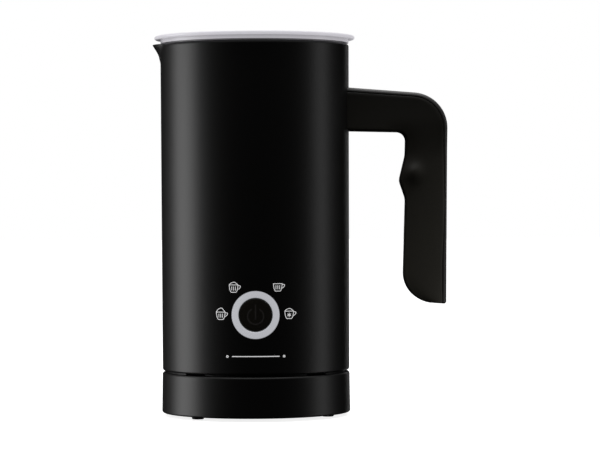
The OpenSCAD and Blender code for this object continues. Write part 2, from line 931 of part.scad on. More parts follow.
module lid_cover() {
    round_r = 0.85;
    flange_z = lid_top - 1.8;
    skirt_r = jug_r_top - 0.1;
    seat_r = 47.2;
    color("#c9c9d2") {
        difference() {
            rotate_extrude() polygon(concat(
                [[0, lid_floor], [plug_wall_r - 1, lid_floor], [plug_wall_r, lid_floor + 1],
                 [plug_wall_r, 190.4], [plug_wall_r - 0.9, 190.4],
                 [plug_wall_r - 0.9, 193.6], [plug_wall_r, 193.6],
                 [plug_wall_r, rim_z], [seat_r, rim_z], [seat_r, lid_z],
                 [skirt_r, lid_z], [skirt_r, flange_z]],
                arc(lid_r - round_r, flange_z + round_r, round_r, -90, 0),
                arc(lid_r - round_r, lid_top - round_r, round_r, 0, 90),
                [[0, lid_top]]));
            difference() {
                disc(dish_r, lid_floor + 2, lid_top + cut);
                block([-dish_r - 2, -4.5, lid_floor], [dish_r + 2, 4.5, lid_top - 0.8]);
            }
        }
    }
}

module lid_seal() {
    seal_r = pot_r - 0.3;
    color("#b9bac4") rotate_extrude() polygon([
        [plug_wall_r - 0.87, 190.5], [plug_wall_r + 0.2, 190.5], [seal_r, 190.9],
        [seal_r, 191.4], [plug_wall_r + 0.2, 191.7], [plug_wall_r + 0.2, 192.3],
        [seal_r, 192.7], [seal_r, 193.1], [plug_wall_r + 0.2, 193.5],
        [plug_wall_r - 0.87, 193.5]]);
}

base_housing();
base_bottom_plate();
base_feet();
base_screws();
base_connector();
connector_screws();
connector_contacts();
cord_bush();
jug_socket();
socket_contacts();
outer_shell();
inner_pot();
pot_gasket();
whisk_spindle();
heater_plate();
heater_ring();
temperature_sensor();
thermal_fuse();
chassis();
motor_can();
motor_end_cap();
motor_magnets();
motor_bushes();
motor_damper();
motor_screws();
power_board();
transformer();
relay();
capacitors();
control_board();
leds();
light_guides();
switch_body();
board_screws();
wire_harness();
light_ring();
program_symbols();
jug_bottom_cover();
bottom_screws();
handle_body();
handle_cover();
handle_bracket();
handle_screws();
lid_cover();
lid_seal();
motor_shaft();
motor_armature();
magnet_carrier();
drive_magnets();
whisk_bush();
whisk_hub();
whisk_coil();
whisk_magnets();
button_cap();
switch_plunger();
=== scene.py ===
"""The looks of the milk frother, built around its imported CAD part. Mesh code works in millimetres."""
import math

import bmesh
import bpy
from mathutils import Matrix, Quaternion, Vector


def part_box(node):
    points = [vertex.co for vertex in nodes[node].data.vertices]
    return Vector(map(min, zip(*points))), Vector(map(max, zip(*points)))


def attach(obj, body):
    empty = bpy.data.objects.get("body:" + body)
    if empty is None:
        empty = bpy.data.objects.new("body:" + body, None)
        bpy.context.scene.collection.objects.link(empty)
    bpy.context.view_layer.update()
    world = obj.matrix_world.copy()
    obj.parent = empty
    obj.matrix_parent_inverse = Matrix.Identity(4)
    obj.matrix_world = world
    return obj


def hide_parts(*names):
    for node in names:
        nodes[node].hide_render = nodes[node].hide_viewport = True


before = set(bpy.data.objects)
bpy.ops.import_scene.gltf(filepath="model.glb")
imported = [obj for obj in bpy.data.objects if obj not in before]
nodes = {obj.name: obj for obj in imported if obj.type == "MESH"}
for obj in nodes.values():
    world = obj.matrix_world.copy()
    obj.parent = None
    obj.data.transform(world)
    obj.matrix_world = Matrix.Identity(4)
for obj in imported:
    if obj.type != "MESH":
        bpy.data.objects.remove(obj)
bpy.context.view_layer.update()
scene = bpy.context.scene
MM = 0.001

# ---------------------------------------------------------------- sizes in millimetres

shell_low, shell_high = (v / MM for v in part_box("outer_shell"))
cap_low, cap_high = (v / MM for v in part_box("button_cap"))
coil_low, coil_high = (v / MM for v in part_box("whisk_coil"))

JUG_LOW = shell_low.z
JUG_RIM = shell_high.z
JUG_R_LOW = 49.6
JUG_R_TOP = 50.0
WALL = 2.0
SPOUT_AXIS = -36.0
SPOUT_REACH = 4.2
BUTTON_Z = (cap_low.z + cap_high.z) / 2
CAP_R = (cap_high.x - cap_low.x) / 2
RING_R = 12.4
LEDGE_DROP = 2.0  # from the rim down to the ledge under the lid
HANDLE_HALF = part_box("handle_cover")[1].y / MM
COVER_T = 2.4


def jug_radius(z):
    """Radius of the jug's outer face at height z."""
    return JUG_R_LOW + (JUG_R_TOP - JUG_R_LOW) * (z - JUG_LOW) / (JUG_RIM - JUG_LOW)


def front_point(x, z, out=0.0):
    """The point on the jug's front at (x, z), standing out from the face by out."""
    r = jug_radius(z) + out
    return (x, -math.sqrt(r * r - x * x), z)


def arc(cx, cy, r, start, end, steps=6):
    """Points on an arc, from angle start to angle end, in degrees."""
    return [
        (cx + r * math.cos(math.radians(start + (end - start) * i / steps)),
         cy + r * math.sin(math.radians(start + (end - start) * i / steps)))
        for i in range(steps + 1)
    ]


# ---------------------------------------------------------------- mesh helpers

def piece(name, verts, faces, material, body, replaced=(), slot=None, crease=38):
    """A mesh object from points in millimetres, riding on a body and standing for the nodes it replaces."""
    mesh = bpy.data.meshes.new(name)
    mesh.from_pydata([tuple(c * MM for c in v) for v in verts], [], faces)
    mesh.validate()
    obj = bpy.data.objects.new(name, mesh)
    scene.collection.objects.link(obj)
    finish_mesh(obj, crease)
    mesh.materials.append(material)
    if body:
        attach(obj, body)
    if replaced:
        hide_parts(*replaced)
    return obj


def finish_mesh(obj, crease=38):
    """Faces outward and smooth, with edges sharper than crease degrees kept crisp."""
    bm = bmesh.new()
    bm.from_mesh(obj.data)
    bmesh.ops.recalc_face_normals(bm, faces=bm.faces)
    bm.to_mesh(obj.data)
    bm.free()
    obj.data.shade_smooth()
    obj.data.set_sharp_from_angle(angle=math.radians(crease))


def closed_grid(rows, columns, offset=0):
    """Faces of a grid that closes both ways."""
    return [
        (offset + r * columns + c,
         offset + r * columns + (c + 1) % columns,
         offset + ((r + 1) % rows) * columns + (c + 1) % columns,
         offset + ((r + 1) % rows) * columns + c)
        for r in range(rows) for c in range(columns)
    ]


def loft(rings):
    """Verts and faces of rings joined one to the next, with both ends capped."""
    n = len(rings[0])
    verts = [p for ring in rings for p in ring]
    faces = [
        (r * n + c, r * n + (c + 1) % n, (r + 1) * n + (c + 1) % n, (r + 1) * n + c)
        for r in range(len(rings) - 1) for c in range(n)
    ]
    faces.append(tuple(range(n))[::-1])
    faces.append(tuple((len(rings) - 1) * n + c for c in range(n)))
    return verts, faces


def cut_away(obj, cutters, crease=38):
    """Takes the cutters' solids out of a piece, then removes the cutters."""
    for cutter in cutters:
        modifier = obj.modifiers.new("cut", "BOOLEAN")
        modifier.operation = "DIFFERENCE"
        modifier.solver = "EXACT"
        modifier.object = cutter
    bpy.context.view_layer.update()
    graph = bpy.context.evaluated_depsgraph_get()
    mesh = bpy.data.meshes.new_from_object(obj.evaluated_get(graph))
    obj.modifiers.clear()
    obj.data = mesh
    for cutter in cutters:
        bpy.data.objects.remove(cutter)
    finish_mesh(obj, crease)


def plain_cutter(verts, faces):
    mesh = bpy.data.meshes.new("cutter")
    mesh.from_pydata([tuple(c * MM for c in v) for v in verts], [], faces)
    obj = bpy.data.objects.new("cutter", mesh)
    scene.collection.objects.link(obj)
    finish_mesh(obj)
    return obj


# ---------------------------------------------------------------- materials

def empty_tree(owner):
    """The node tree of a material or world, with nothing in it."""
    owner.use_nodes = True
    owner.node_tree.nodes.clear()
    return owner.node_tree


def add_node(tree, kind, values=None, **settings):
    """A shader node with its settings, and with values put on its inputs."""
    node = tree.nodes.new("ShaderNode" + kind)
    for name, value in settings.items():
        setattr(node, name, value)
    for name, value in (values or {}).items():
        node.inputs[name].default_value = value
    return node


def material(name, colour, roughness, metallic=0.0, vary=0.12, grain=900.0, bump=0.0, painted_glow=0.0,
             painted_glow_colour=(1, 1, 1), transmission=0.0, subsurface=0.0, painted_light_low_gain=1.0):
    """A Principled finish: a fine noise drifts its colour and roughness and gives its surface a grain."""
    m = bpy.data.materials.new(name)
    tree = empty_tree(m)
    link = tree.links.new
    shader = add_node(tree, "BsdfPrincipled", {
        "Metallic": metallic,
        "IOR": 1.5,
        "Coat Roughness": 0.12,
        "Transmission Weight": transmission,
        "Subsurface Weight": subsurface,
        "Subsurface Radius": (0.004, 0.004, 0.0045),
        "Subsurface Scale": 1,
    })
    link(shader.outputs["BSDF"], add_node(tree, "OutputMaterial").inputs["Surface"])
    place = add_node(tree, "TexCoord").outputs["Object"]
    noise = add_node(tree, "TexNoise", {"Scale": grain, "Detail": 3})
    link(place, noise.inputs["Vector"])

    ramp = add_node(tree, "ValToRGB")
    low, high = ramp.color_ramp.elements
    low.position, high.position = 0.3, 0.7
    low.color = (*[c * (1 - vary) for c in colour], 1)
    high.color = (*[min(c * (1 + vary), 1) for c in colour], 1)
    link(noise.outputs["Fac"], ramp.inputs["Fac"])
    tint = ramp.outputs["Color"]
    if painted_light_low_gain != 1:
        # painted light: a little paler towards the floor, by height alone, standing in for the light that
        # reaches the handle's low end
        parts = add_node(tree, "SeparateXYZ")
        fall = add_node(tree, "MapRange", {
            "From Min": 0.055, "From Max": 0.170, "To Min": painted_light_low_gain, "To Max": 1.0})
        paler = add_node(tree, "VectorMath", operation="SCALE")
        link(place, parts.inputs[0])
        link(parts.outputs["Z"], fall.inputs["Value"])
        link(tint, paler.inputs[0])
        link(fall.outputs["Result"], paler.inputs["Scale"])
        tint = paler.outputs["Vector"]
    link(tint, shader.inputs["Base Color"])

    spread = add_node(tree, "MapRange", {
        "To Min": max(roughness - 0.03, 0.02), "To Max": min(roughness + 0.03, 1)})
    link(noise.outputs["Fac"], spread.inputs["Value"])
    link(spread.outputs["Result"], shader.inputs["Roughness"])
    if painted_glow:
        # painted glow: the emission stands in for light, and is held back where the surface is shut in, so
        # that gaps stay dark
        open_air = add_node(tree, "AmbientOcclusion", {"Distance": 0.005}, samples=8)
        strength = add_node(tree, "Math", {1: painted_glow}, operation="MULTIPLY")
        link(open_air.outputs["AO"], strength.inputs[0])
        link(strength.outputs[0], shader.inputs["Emission Strength"])
        shader.inputs["Emission Color"].default_value = (*painted_glow_colour, 1)
    if bump:
        rise = add_node(tree, "Bump", {"Strength": bump, "Distance": 0.00004})
        link(noise.outputs["Fac"], rise.inputs["Height"])
        link(rise.outputs["Normal"], shader.inputs["Normal"])
    return m


FINISH = {
    "shell_plastic": dict(colour=(0.0011, 0.0008, 0.0007), roughness=0.40, bump=0.25, grain=2600),
    "base_plastic": dict(colour=(0.0011, 0.0008, 0.0007), roughness=0.40, bump=0.25, grain=2600),
    # the handle's colour is made paler towards its low end as painted light
    "handle_plastic": dict(colour=(0.0215, 0.0202, 0.0165), roughness=0.42, bump=0.25, grain=2600,
                           painted_light_low_gain=4.2),
    "button_plastic": dict(colour=(0.0190, 0.0165, 0.0130), roughness=0.32, bump=0.1, grain=2600),
    "inner_plastic": dict(colour=(0.004, 0.004, 0.0045), roughness=0.5, bump=0.2, grain=1800),
    "whisk_plastic": dict(colour=(0.012, 0.012, 0.013), roughness=0.4, bump=0.15, grain=1800),
    "chassis_plastic": dict(colour=(0.08, 0.08, 0.085), roughness=0.55, bump=0.2, grain=1500),
    "cream_plastic": dict(colour=(0.62, 0.56, 0.45), roughness=0.5, bump=0.1, grain=1500),
    # the lid glows as painted light, standing in for light passing through it
    "lid_plastic": dict(colour=(0.30, 0.292, 0.31), roughness=0.34, bump=0.06, grain=1500, vary=0.03,
                        subsurface=0.5, painted_glow=0.53, painted_glow_colour=(0.96, 0.94, 1.0)),
    "lid_silicone": dict(colour=(0.45, 0.44, 0.46), roughness=0.6, subsurface=0.3, vary=0.04),
    "seal_silicone": dict(colour=(0.30, 0.30, 0.31), roughness=0.6, vary=0.05),
    "rubber": dict(colour=(0.006, 0.006, 0.0065), roughness=0.75, bump=0.3, grain=2200),
    # the light ring's glow is partly its own LED light and partly painted light standing in for front light
    "ring_diffuser": dict(colour=(0.72, 0.73, 0.78), roughness=0.36, vary=0.02, painted_glow=0.37,
                          painted_glow_colour=(0.93, 0.94, 1.0)),
    # the print glows as painted light, so that it looks bright
    "white_print": dict(colour=(0.82, 0.82, 0.84), roughness=0.5, vary=0.03, painted_glow=0.5),
    "light_guide": dict(colour=(0.75, 0.75, 0.78), roughness=0.25, vary=0.03, transmission=0.4),
    "led_lens": dict(colour=(0.70, 0.66, 0.45), roughness=0.3, vary=0.05),
    "pot_coating": dict(colour=(0.030, 0.030, 0.032), roughness=0.38, metallic=0.2, bump=0.2, grain=1400),
    "bright_steel": dict(colour=(0.62, 0.62, 0.63), roughness=0.2, metallic=1.0, vary=0.05),
    "screw_steel": dict(colour=(0.42, 0.42, 0.43), roughness=0.32, metallic=1.0, vary=0.08),
    "motor_steel": dict(colour=(0.50, 0.50, 0.50), roughness=0.36, metallic=1.0, vary=0.08),
    "element_steel": dict(colour=(0.36, 0.34, 0.32), roughness=0.45, metallic=1.0, vary=0.15),
    "heater_aluminium": dict(colour=(0.66, 0.67, 0.68), roughness=0.42, metallic=1.0, vary=0.08),
    "contact_brass": dict(colour=(0.72, 0.52, 0.22), roughness=0.25, metallic=1.0, vary=0.06),
    "winding_copper": dict(colour=(0.60, 0.24, 0.10), roughness=0.35, metallic=1.0, vary=0.15),
    "ferrite": dict(colour=(0.05, 0.045, 0.045), roughness=0.55, vary=0.2),
    "magnet_nickel": dict(colour=(0.58, 0.56, 0.52), roughness=0.28, metallic=1.0, vary=0.05),
    "ceramic": dict(colour=(0.72, 0.70, 0.66), roughness=0.6, vary=0.05),
    "circuit_board": dict(colour=(0.012, 0.075, 0.028), roughness=0.4, vary=0.2, grain=600),
    "transformer_tape": dict(colour=(0.55, 0.42, 0.06), roughness=0.45, vary=0.08),
    "relay_case": dict(colour=(0.02, 0.06, 0.20), roughness=0.4, vary=0.08),
    "capacitor_sleeve": dict(colour=(0.02, 0.03, 0.07), roughness=0.3, vary=0.1),
    "wire_sleeve": dict(colour=(0.30, 0.03, 0.02), roughness=0.5, vary=0.1),
}
finishes = {name: material(name + "_finish", **look) for name, look in FINISH.items()}
# painted highlight: the cover is paler than the handle body, standing in for the light its rounded back
# catches
cover_painted_sheen_finish = material("handle_cover_finish", (0.0240, 0.0220, 0.0205), 0.40, bump=0.25, grain=2600,
                        painted_light_low_gain=2.6)
mark_finish = material("button_mark_finish", (0.050, 0.045, 0.042), 0.5)

for node in nodes.values():
    slot_name = node.data.materials[0].name.split(".")[0]
    node.data.materials[0] = finishes[slot_name]

# ---------------------------------------------------------------- jug shell

SPOUT_DEPTH = 20  # the spout has run out this far below the rim
LIP = 1.4
TIP_LIP = 0.3


def spout_out(d):
    """How far the spout stands out beyond the wall at a depth d below the rim."""
    if d >= SPOUT_DEPTH:
        return -1.5
    return max(SPOUT_REACH * math.exp(-((d / 4.7) ** 1.4)) - 0.0035 * d * d, -1.5)


def spout_radius(d):
    """Radius of the spout's outer face about the spout's own axis, at a depth d below the rim."""
    return JUG_R_TOP + SPOUT_AXIS + spout_out(d)


def shell_radius(angle, z):
    """Radius of the outer face: the wall and the flared spout, blended smoothly."""
    wall = jug_radius(z)
    phi = math.radians(angle - 180)
    bore = spout_radius(JUG_RIM - z)
    inside = bore * bore - (SPOUT_AXIS * math.sin(phi)) ** 2
    if math.cos(phi) <= 0 or inside <= 0:
        return wall
    spout = -SPOUT_AXIS * math.cos(phi) + math.sqrt(inside)
    soft = 1.4
    if spout <= wall - soft:
        return wall
    close = max(soft - abs(wall - spout), 0)
    # where they meet far from the spout the blend may not lift the wall
    fade = min(max(spout_out(JUG_RIM - z) + 0.2, 0) / 0.6, 1)
    return max(wall, spout) + fade * close * close / (4 * soft)


def shell_mesh(columns=288):
    """The shell's wall: up the outer face, over the lip, and down the inner face past the lid's ledge."""
    edge = 1.2
    wall_low, wall_high = JUG_LOW + edge + 0.4, JUG_RIM - SPOUT_DEPTH
    ledge = JUG_RIM - LEDGE_DROP
    outer = [(r - JUG_R_LOW, z) for r, z in arc(JUG_R_LOW - edge, JUG_LOW + edge, edge, -90, 0)]
    outer += [(0, wall_low + (wall_high - wall_low) * i / 60) for i in range(61)]
    outer += [(0, wall_high + 0.5 * i) for i in range(1, 37)]
    rows = [("outer", out, z) for out, z in outer]
    rows += [("lip", x, z) for x, z in arc(0, 0, 1, 0, 90)]
    rows += [("inner", r, z) for r, z in (
        (48.4, JUG_RIM), (48.4, ledge), (44.0, ledge), (44.0, ledge - 2), (47.9, ledge - 2),
        (47.8, 150), (47.7, 100), (47.6, 60), (47.6, JUG_LOW))]
    verts = []
    for kind, r, z in rows:
        for c in range(columns):
            angle = 360 * c / columns
            height, radius = z, r
            if kind == "outer":
                radius += shell_radius(angle, z)
            if kind == "lip":
                # rounder on the wall than at the spout's thin tip
                stand = shell_radius(angle, JUG_RIM) - JUG_R_TOP
                lip = LIP - (LIP - TIP_LIP) * min(max(stand / 1.5, 0), 1)
                height = JUG_RIM - lip + lip * z
                radius = shell_radius(angle, height) - lip + lip * r
            turn = math.radians(angle)
            verts.append((radius * math.cos(turn), radius * math.sin(turn), height))
    return verts, closed_grid(len(rows), columns)


def spout_channel():
    """The opening inside the spout, one wall in from its outer face."""
    rings = []
    for d in (-1.0, 0, 0.5, 1, 1.5, 2, 3, 4, 5, 6, 7, 8.5, 10, 12, 14):
        r = spout_radius(max(d, 0)) - WALL
        rings.append([
            (SPOUT_AXIS + r * math.cos(math.radians(a)), r * math.sin(math.radians(a)), JUG_RIM - d)
            for a in range(0, 360, 3)])
    return loft(rings)


def round_bar(x, z, r, near, far, sides=96):
    """A round bar along y, from near to far."""
    turns = [2 * math.pi * k / sides for k in range(sides)]
    return loft([[(x + r * math.cos(a), y, z + r * math.sin(a)) for a in turns] for y in (near, far)])


shell = piece("jug_shell", *shell_mesh(), finishes["shell_plastic"], "jug", ["outer_shell"], "shell_plastic")
ring_hole = round_bar(0, BUTTON_Z, RING_R + 0.05, -60, -40)
cut_away(shell, [plain_cutter(*spout_channel()), plain_cutter(*ring_hole)])

# ---------------------------------------------------------------- light ring and button

def face_disc(inner, outer, front, back, edge, sides=144):
    """A round piece let into the jug's front, its face following the jug's, with a hole if inner isn't 0.
    Front and back are depths below the jug's face."""
    profile = []
    if inner:
        profile = [(inner, back)] + arc(inner + edge, front + edge, edge, 180, 270, 5)
    flat = outer - inner - 2 * edge
    profile += [(outer - edge - flat * (1 - t), front) for t in (0.25, 0.5, 0.75)]
    profile += arc(outer - edge, front + edge, edge, 270, 360, 5) + [(outer, back)]
    turns = [2 * math.pi * k / sides for k in range(sides)]
    verts = [front_point(r * math.cos(a), BUTTON_Z + r * math.sin(a), -depth)
             for r, depth in profile for a in turns]
    faces = closed_grid(len(profile), sides)
    if not inner:
        faces = faces[:-sides]
        for end, depth in ((0, front), (len(profile) - 1, back)):
            hub = len(verts)
            verts.append(front_point(0, BUTTON_Z, -depth))
            faces += [(hub, end * sides + k, end * sides + (k + 1) % sides) for k in range(sides)]
    return verts, faces


piece("ring_diffuser", *face_disc(CAP_R + 0.3, RING_R, 0.05, 4.0, 0.35), finishes["ring_diffuser"],
      "jug", ["light_ring"], "ring_diffuser")
piece("button_face", *face_disc(0, CAP_R, 0.3, 2.6, 0.4), finishes["button_plastic"],
      "button", ["button_cap"], "button_plastic")

# ---------------------------------------------------------------- printed lines

def ribbon(points, width, out, thick, verts, faces, closed=False):
    """Adds a line of even width on the jug's face to verts and faces, as a thin strip with square ends."""
    pts = [Vector(p) for p in points]
    n = len(pts)
    edges = []
    for i, p in enumerate(pts):
        before = pts[i - 1] if i or closed else None
        after = pts[(i + 1) % n] if i < n - 1 or closed else None
        d1 = (p - before).normalized() if before is not None else (after - p).normalized()
        d2 = (after - p).normalized() if after is not None else d1
        side = Vector((-(d1 + d2).y, (d1 + d2).x)).normalized()
        reach = min(width / 2 / max(side.dot(Vector((-d1.y, d1.x))), 0.5), width)
        shift = Vector((0, 0))
        if before is None:
            shift = -d1 * width / 2
        if after is None:
            shift = d2 * width / 2
        edges.append((p + side * reach + shift, p - side * reach + shift))
    start = len(verts)
    for left, right in edges:
        for q, o in ((left, out), (right, out), (right, out - thick), (left, out - thick)):
            verts.append(front_point(q.x, q.y, o))
    spans = n if closed else n - 1
    for i in range(spans):
        a, b = start + 4 * i, start + 4 * ((i + 1) % n)
        faces.extend((a + k, a + (k + 1) % 4, b + (k + 1) % 4, b + k) for k in range(4))
    if not closed:
        faces.append((start, start + 1, start + 2, start + 3))
        last = start + 4 * (n - 1)
        faces.append((last + 3, last + 2, last + 1, last))


def finer(points, step=0.5):
    """The same line with points no further apart than step, so that it follows the jug's curve."""
    out = [points[0]]
    for a, b in zip(points, points[1:]):
        parts = max(int(math.dist(a, b) / step), 1)
        out += [(a[0] + (b[0] - a[0]) * i / parts, a[1] + (b[1] - a[1]) * i / parts)
                for i in range(1, parts + 1)]
    return out


def smooth_curve(points, steps=6):
    """A curve through the points (Catmull-Rom)."""
    ends = [points[0]] + list(points) + [points[-1]]
    out = []
    for i in range(1, len(ends) - 2):
        p0, p1, p2, p3 = ends[i - 1:i + 3]
        for s in range(steps):
            t = s / steps
            out.append(tuple(
                0.5 * (2 * p1[k] + (p2[k] - p0[k]) * t
                       + (2 * p0[k] - 5 * p1[k] + 4 * p2[k] - p3[k]) * t * t
                       + (3 * p1[k] - p0[k] - 3 * p2[k] + p3[k]) * t ** 3) for k in (0, 1)))
    return out + [tuple(points[-1])]


SYMBOLS = [  # (centre, height of the froth, whether it is hot)
    ((-17.9, 54.6), 2.1, True),
    ((-11.2, 68.6), 1.4, True),
    ((11.5, 69.1), 0.0, True),
    ((17.3, 54.9), 1.4, False),
]
BRIM = 2.1  # of a symbol's cup, above its centre
LINE = 0.33


def symbol_lines(froth, hot):
    """A cup with its ear, the froth on it, and strokes of steam or a snowflake in it."""
    left = [(-2.25, BRIM), (-2.1, 0.6), (-1.8, -0.8), (-1.2, -1.7)]
    right = [(-x, z) for x, z in left[::-1]]
    lines = [
        smooth_curve(left) + smooth_curve(right),
        [left[0], right[-1]],
        smooth_curve([(2.25, 1.8), (3.45, 1.5), (3.1, 0.4), (1.95, -0.3)]),
    ]
    if froth:
        lines.append(smooth_curve([left[0], (-1.4, BRIM + froth * 0.62), (0.3, BRIM + froth),
                                   (1.4, BRIM + froth * 0.55), right[-1]]))
    if hot:
        return lines + [[(x, -0.6), (x, 1.1)] for x in (-0.95, 0, 0.95)]
    arms = [(0.95 * math.sin(math.radians(a)), 0.95 * math.cos(math.radians(a))) for a in (0, 60, 120)]
    return lines + [[(x, 0.2 - z), (-x, 0.2 + z)] for x, z in arms]


printed = [], []
for (cx, cz), froth, hot in SYMBOLS:
    for line in symbol_lines(froth, hot):
        ribbon(finer([(cx + x, cz + z) for x, z in line], 0.6), LINE, 0.05, 0.25, *printed)
piece("program_symbol_lines", *printed, finishes["white_print"], "jug", ["program_symbols"], "white_print")

MARK_R = 4.1
MARK_Z = BUTTON_Z - 0.7
MARK_LINE = dict(width=0.75, out=-0.26, thick=0.2)
mark = [], []
ribbon([(MARK_R * math.sin(math.radians(a)), MARK_Z + MARK_R * math.cos(math.radians(a)))
        for a in range(32, 330, 4)], verts=mark[0], faces=mark[1], **MARK_LINE)
ribbon(finer([(0, BUTTON_Z + 5.0), (0, BUTTON_Z - 1.9)]), verts=mark[0], faces=mark[1], **MARK_LINE)
piece("power_mark", *mark, mark_finish, "button", slot="button_plastic")

RULE_Z = 33.9
DOT_R = 0.45
rule = [], []
ribbon(finer([(-12, RULE_Z), (12, RULE_Z)], 0.8), 0.45, 0.04, 0.2, *rule)
for x in (-14.6, 14.6):
    dot = [(x + DOT_R * math.cos(math.radians(a)), RULE_Z + DOT_R * math.sin(math.radians(a)))
           for a in range(0, 360, 20)]
    ribbon(dot, 0.4, 0.04, 0.2, *rule, closed=True)
piece("plain_rule", *rule, finishes["white_print"], "jug", slot="white_print")

# ---------------------------------------------------------------- handle

def rounded_path(corners, steps=14):
    """Corner points (x, z, radius) as a line with round corners, each of this many steps."""
    out = [Vector(corners[0][:2])]
    for (px, pz, _), (cx, cz, r), (nx, nz, _) in zip(corners, corners[1:], corners[2:]):
        c = Vector((cx, cz))
        u, v = (Vector((px, pz)) - c).normalized(), (Vector((nx, nz)) - c).normalized()
        half = math.acos(max(-1, min(1, u.dot(v)))) / 2
        mid = (u + v).normalized()
        centre = c + mid * r / math.sin(half)
        start, end = c + u * r / math.tan(half) - centre, c + v * r / math.tan(half) - centre
        a0 = math.atan2(start.y, start.x)
        turn = math.atan2(end.y, end.x) - a0
        turn -= 2 * math.pi * round(turn / (2 * math.pi))
        out += [centre + Vector((math.cos(a0 + turn * i / steps), math.sin(a0 + turn * i / steps))) * r
                for i in range(steps + 1)]
    return out + [Vector(corners[-1][:2])]


class Rail:
    """A line that is read by its length."""

    def __init__(self, points):
        self.points = points
        self.at = [0.0]
        for a, b in zip(points, points[1:]):
            self.at.append(self.at[-1] + (b - a).length)

    def point(self, s):
        for a, b, s0, s1 in zip(self.points, self.points[1:], self.at, self.at[1:]):
            if s <= s1 and s1 > s0:
                return a.lerp(b, (s - s0) / (s1 - s0))
        return self.points[-1].copy()

    def where(self, test):
        """Length at the first point for which test holds."""
        return next(s for p, s in zip(self.points, self.at) if test(p))


CORNER_STEPS = 14
HANDLE_LOW = 58.8
GRIP_MID = 113
GRIP_TURN = 77.0
outer_rail = Rail(rounded_path([(44, 173.9, 0), (102.1, 169.35, 18.8), (101, HANDLE_LOW, 0)]))
inner_rail = Rail(rounded_path([
    (44, 150.8, 0), (80.2, 149.9, 4.6), (79.8, 137.6, 12), (76.55, 124.2, 5), (79.8, 114.6, 8),
    (78.1, 60.2, 15.8), (101, HANDLE_LOW, 0)]))


def outer_at(z):
    """Length on the outer rail's straight back at height z."""
    return outer_rail.at[-1] - (z - HANDLE_LOW)


KNOTS = [  # (length on the inner rail, length on the outer rail, stations to the next)
    (4.0, 4.0, 18),
    (inner_rail.at[1], outer_rail.at[1], 30),
    (inner_rail.at[1 + CORNER_STEPS], outer_rail.at[1 + CORNER_STEPS], 46),
    (inner_rail.where(lambda p: p.y < GRIP_MID), outer_at(GRIP_MID), 20),
    (inner_rail.where(lambda p: p.y < GRIP_TURN), outer_at(GRIP_TURN), 26),
    (inner_rail.at[-2], outer_rail.at[-1], 0),
]


def handle_stations():
    """Pairs of points, on the inner and the outer rail, from the jug to the handle's low end."""
    out = []
    for (i0, o0, n), (i1, o1, _) in zip(KNOTS, KNOTS[1:]):
        out += [(inner_rail.point(i0 + (i1 - i0) * k / n), outer_rail.point(o0 + (o1 - o0) * k / n))
                for k in range(n)]
    return out + [(inner_rail.point(KNOTS[-1][0]), outer_rail.point(KNOTS[-1][1]))]


def smooth_step(t):
    t = min(max(t, 0), 1)
    return t * t * (3 - 2 * t)


def side_half(x, z, share):
    """Half the handle's width at (x, z), share of the way from its inner edge to its outer edge.
    The grip is slimmer than the arm, has rounded sides, and swells where the thumb rests."""
    grip = smooth_step((158 - z) / 22) * smooth_step((x - 66) / 12)
    slimmer = grip * (1.4 + 1.5 * (abs(share - 0.5) / 0.5) ** 2.2)
    swell = 2.0 * math.exp(-((x - 84.0) ** 2 + (z - 128.2) ** 2) / (2 * 2.9 ** 2))
    return HANDLE_HALF - slimmer + min(swell, slimmer)


def half_section(inner, outer, inset, cover):
    """Points (along, half width), from the middle of the inner edge round to the middle of the outer edge."""
    thick = (outer - inner).length
    joint = thick - COVER_T

    def half(a):
        p = inner.lerp(outer, a / thick)
        return side_half(p.x, p.y, a / thick) - inset

    if cover:
        seam = half(joint)
        span = COVER_T - 0.3 - inset
        bend = 2.6
        return [
            *[(joint, t * (seam - 0.3)) for t in (0, 0.5, 1)],
            (joint + 0.16, seam - 0.06),
            *[(joint + 0.3 + span * x, seam - bend * (1 - y)) for y, x in arc(0, 0, 1, 0, 90, 8)],
            *[(thick - inset, t * (seam - bend)) for t in (0.6, 0.3, 0)],
        ]
    first, bend = 1.2, 1.4
    top = half(first)
    reach = joint - 0.35 - first - inset
    sides = [first + inset + reach * k / 14 for k in range(1, 15)]
    return [
        *[(inset, t * (top - bend)) for t in (0, 0.4, 0.8)],
        *[(inset + first * (1 - x), top - bend + bend * y) for x, y in arc(0, 0, 1, 0, 90, 7)],
        *[(a, half(a)) for a in sides],
        (joint - 0.16, half(joint) - 0.08),
        *[(joint, t * (half(joint) - 0.3)) for t in (1, 0.5, 0)],
    ]


def handle_ring(inner, outer, inset, cover, on_jug=False):
    """The whole section between two points on the rails; the first one lies inside the jug's wall."""
    along = (outer - inner).normalized()
    section = half_section(inner, outer, inset, cover)
    ring = []
    for a, y in section + [(a, -y) for a, y in section[-2:0:-1]]:
        p = inner + along * a
        ring.append((math.sqrt(49.3 ** 2 - y * y) if on_jug else p.x, y, p.y))
    return ring


def handle_part(cover):
    """The handle's body, or the cover strip along its back, with a rounded low end."""
    stations = handle_stations()
    rings = [handle_ring(i, o, 0, cover, on_jug=n == 0) for n, (i, o) in enumerate(stations[:-1])]
    (i0, o0), (i, o) = stations[-2:]
    ahead = ((i - i0) + (o - o0)).normalized()
    rise = 0.8
    for x, y in arc(0, 0, 1, 0, 90, 4):
        move = ahead * (rise * y - rise)
        rings.append(handle_ring(i + move, o + move, 0.01 + rise * (1 - x), cover))
    return loft(rings)


piece("handle_grip", *handle_part(False), finishes["handle_plastic"],
      "jug", ["handle_body"], "handle_plastic", 50)
piece("handle_back", *handle_part(True), cover_painted_sheen_finish,
      "jug", ["handle_cover"], "handle_plastic", 50)

# ---------------------------------------------------------------- whisk spring

